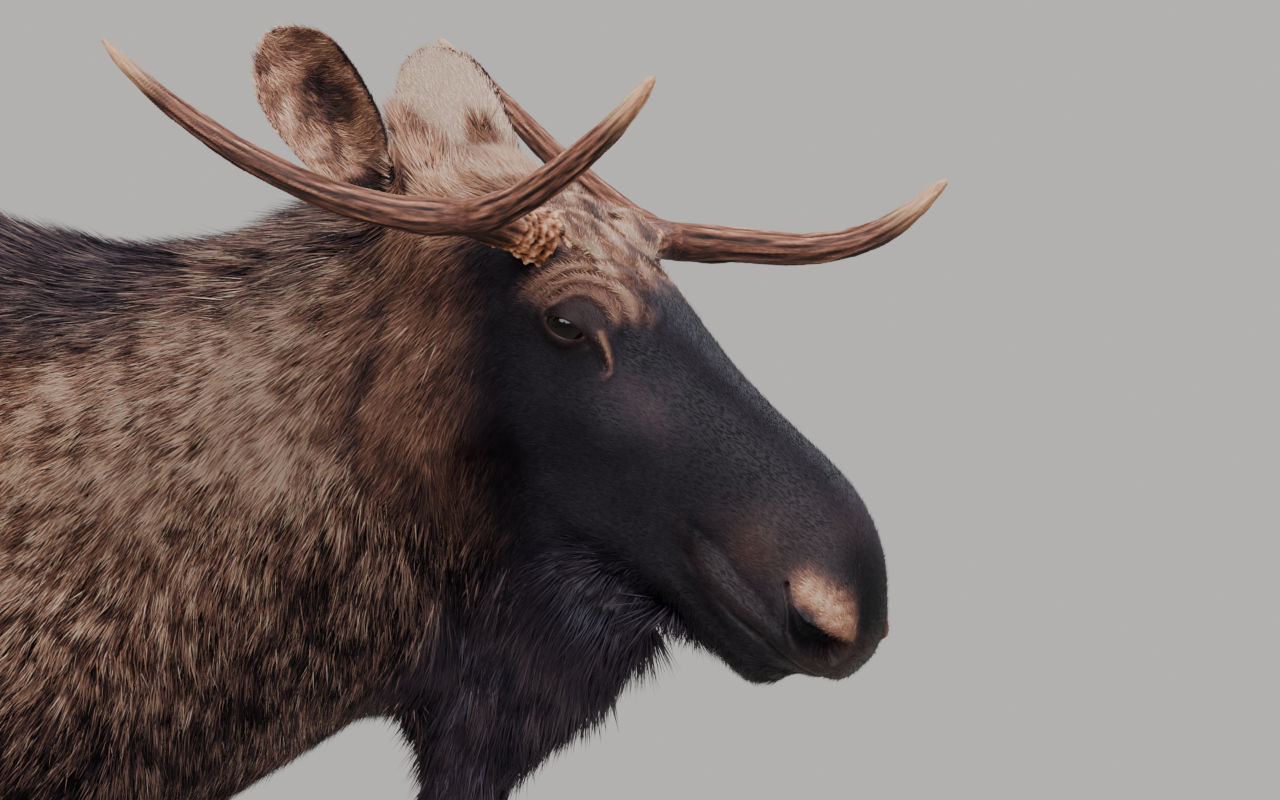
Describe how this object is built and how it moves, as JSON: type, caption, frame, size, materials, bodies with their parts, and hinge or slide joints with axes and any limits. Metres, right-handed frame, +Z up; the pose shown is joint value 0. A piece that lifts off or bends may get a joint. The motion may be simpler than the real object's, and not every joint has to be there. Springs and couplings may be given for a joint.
{
  "type": "moose",
  "caption": "Standing young bull moose at life size, head low and turned a little to its right, with forked antlers, upright ears, a hanging bell and cloven hooves on the floor.",
  "frame": {"origin": "on the floor, under the middle of the animal's bounding box", "axes": "+X to the front, where the chest faces, +Y to the animal's left, +Z up"},
  "size_m": [2.322, 0.8464, 2.0008],
  "materials": {
    "coat_brown": "long coarse winter coat, golden-brown tips over dark brown",
    "coat_face": "short close coat, black-brown with a cool sheen",
    "coat_leg": "short close coat, pale grey-brown",
    "coat_ear": "short coat, grizzled yellow-brown, dark inside the cup",
    "antler": "grooved bone, red-brown with pale worn tips, as a cast resin copy",
    "hoof": "dark horn, worn dull, as a cast resin copy",
    "eye": "solid dark glass eye, polished"
  },
  "bodies": {
    "root": {"antler_left_beam": "antler", "antler_left_front_tine": "antler", "antler_left_rear_tine": "antler", "antler_right_beam": "antler", "antler_right_front_tine": "antler", "antler_right_rear_tine": "antler", "bell": "coat_face", "dewclaw_front_left_inner": "hoof", "dewclaw_front_left_outer": "hoof", "dewclaw_front_right_inner": "hoof", "dewclaw_front_right_outer": "hoof", "dewclaw_rear_left_inner": "hoof", "dewclaw_rear_left_outer": "hoof", "dewclaw_rear_right_inner": "hoof", "dewclaw_rear_right_outer": "hoof", "ear_left": "coat_ear", "ear_right": "coat_ear", "eye_left": "eye", "eye_right": "eye", "head": "coat_face", "hoof_front_left_inner": "hoof", "hoof_front_left_outer": "hoof", "hoof_front_right_inner": "hoof", "hoof_front_right_outer": "hoof", "hoof_rear_left_inner": "hoof", "hoof_rear_left_outer": "hoof", "hoof_rear_right_inner": "hoof", "hoof_rear_right_outer": "hoof", "leg_front_left_lower": "coat_leg", "leg_front_left_upper": "coat_brown", "leg_front_right_lower": "coat_leg", "leg_front_right_upper": "coat_brown", "leg_rear_left_lower": "coat_leg", "leg_rear_left_upper": "coat_brown", "leg_rear_right_lower": "coat_leg", "leg_rear_right_upper": "coat_brown", "neck": "coat_brown", "tail": "coat_brown", "trunk": "coat_brown"}
  },
  "joints": []
}
